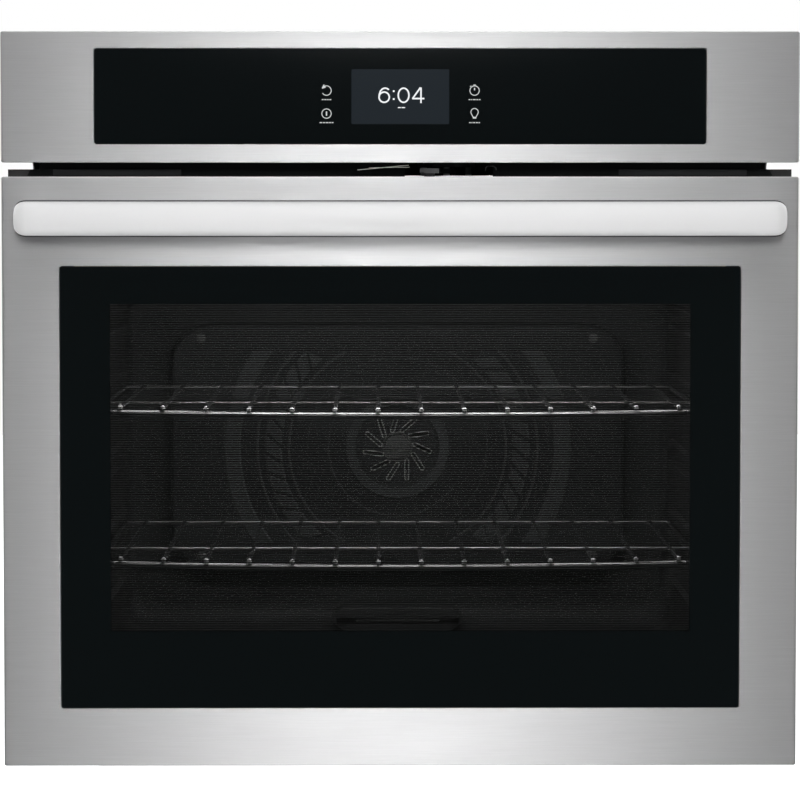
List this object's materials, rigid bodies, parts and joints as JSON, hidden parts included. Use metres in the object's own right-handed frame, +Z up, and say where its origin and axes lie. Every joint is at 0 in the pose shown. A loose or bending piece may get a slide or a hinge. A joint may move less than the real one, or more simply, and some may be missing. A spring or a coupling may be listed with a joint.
{
  "type": "built-in wall oven",
  "caption": "Built-in electric oven with a stainless front, a drop-down glass door under a bar handle, a black touch control panel above it and sliding wire racks in a fan oven.",
  "frame": {"origin": "middle of the bounding box, on the plane the oven's base runners stand on", "axes": "+X across the front towards the viewer's right, +Y from the front back into the cabinet, +Z up"},
  "size_m": [0.762, 0.701, 0.711],
  "materials": {
    "stainless": "brushed stainless, grain along X",
    "galvanised": "galvanised sheet",
    "chrome": "polished wire",
    "aluminium": "plain aluminium",
    "black_glass": "black glass, printed from behind",
    "clear_glass": "clear heat-resistant glass",
    "black_paint": "satin black paint",
    "enamel": "dark grey porcelain enamel",
    "element": "oxidised heater sheath",
    "plastic": "black moulded plastic",
    "fibre": "glass-fibre batt",
    "seal": "braided glass-fibre seal",
    "board": "printed circuit board",
    "ceramic": "ceramic"
  },
  "bodies": {
    "oven": {"base_pan": "galvanised", "side_panel_right": "galvanised", "side_panel_left": "galvanised", "top_cover": "galvanised", "rear_panel": "galvanised", "front_frame": "black_paint", "side_trim_right": "black_paint", "side_trim_left": "black_paint", "cavity_wall_right": "enamel", "cavity_wall_left": "enamel", "cavity_ceiling": "enamel", "cavity_floor": "enamel", "cavity_back": "enamel", "insulation_wrap": "fibre", "insulation_back": "fibre", "door_gasket": "seal", "broil_element": "element", "bake_element": "element", "bake_element_pan": "galvanised", "fan_baffle": "enamel", "convection_motor": "galvanised", "lamp_housing": "ceramic", "lamp_bulb": "clear_glass", "lamp_lens": "clear_glass", "temperature_sensor": "stainless", "door_switch": "plastic", "latch_base": "galvanised", "latch_motor": "plastic", "air_duct": "black_paint", "flue_tube": "galvanised", "blower_housing": "galvanised", "blower_motor": "plastic", "panel_frame": "stainless", "panel_glass": "black_glass", "display_module": "plastic", "control_board": "board", "power_board": "board", "terminal_block": "ceramic", "conduit_gland": "aluminium", "hinge_arm_right": "galvanised", "hinge_arm_left": "galvanised", "hinge_receiver_right": "galvanised", "hinge_receiver_left": "galvanised"},
    "door": {"door_skin": "stainless", "door_outer_glass": "black_glass", "door_liner": "black_paint", "door_middle_glass": "clear_glass", "door_inner_glass": "clear_glass", "door_insulation": "fibre", "handle_bar": "stainless", "handle_post_right": "chrome", "handle_post_left": "chrome", "hinge_body_right": "galvanised", "hinge_body_left": "galvanised"},
    "rack_lower_body": {"rack_lower": "chrome"},
    "rack_upper_body": {"rack_upper": "chrome"},
    "plunger": {"switch_plunger": "plastic"},
    "latch": {"latch_hook": "galvanised"},
    "fan": {"convection_fan": "aluminium"},
    "blower": {"blower_wheel": "aluminium"}
  },
  "joints": [
    {"name": "door_hinge", "type": "hinge", "parent": "oven", "child": "door", "pos_m": [0, -0.2655, 0.018], "axis": [1, 0, 0], "range_deg": [0, 90], "stiffness_Nm_per_rad": 20, "springref_deg": -17.19},
    {"name": "rack_lower_slide", "type": "slide", "parent": "oven", "child": "rack_lower_body", "axis": [0, -1, 0], "range_m": [0, 0.315]},
    {"name": "rack_upper_slide", "type": "slide", "parent": "oven", "child": "rack_upper_body", "axis": [0, -1, 0], "range_m": [0, 0.315]},
    {"name": "switch_slide", "type": "slide", "parent": "oven", "child": "plunger", "axis": [0, -1, 0], "range_m": [0, 0.007]},
    {"name": "latch_turn", "type": "hinge", "parent": "oven", "child": "latch", "pos_m": [0.046, -0.2055, 0.577], "axis": [0, 0, 1], "range_deg": [0, 26.3]},
    {"name": "fan_spin", "type": "hinge", "parent": "oven", "child": "fan", "pos_m": [0, 0.2485, 0.27], "axis": [0, 1, 0], "continuous": true},
    {"name": "blower_spin", "type": "hinge", "parent": "oven", "child": "blower", "pos_m": [0, -0.0505, 0.6255], "axis": [1, 0, 0], "continuous": true}
  ],
  "couplings": [
    {"joint": "rack_lower_slide", "follows": "door_hinge", "m_per_rad": 0.2},
    {"joint": "rack_upper_slide", "follows": "door_hinge", "m_per_rad": 0.2},
    {"joint": "switch_slide", "follows": "door_hinge", "m_per_rad": 0.0044}
  ]
}
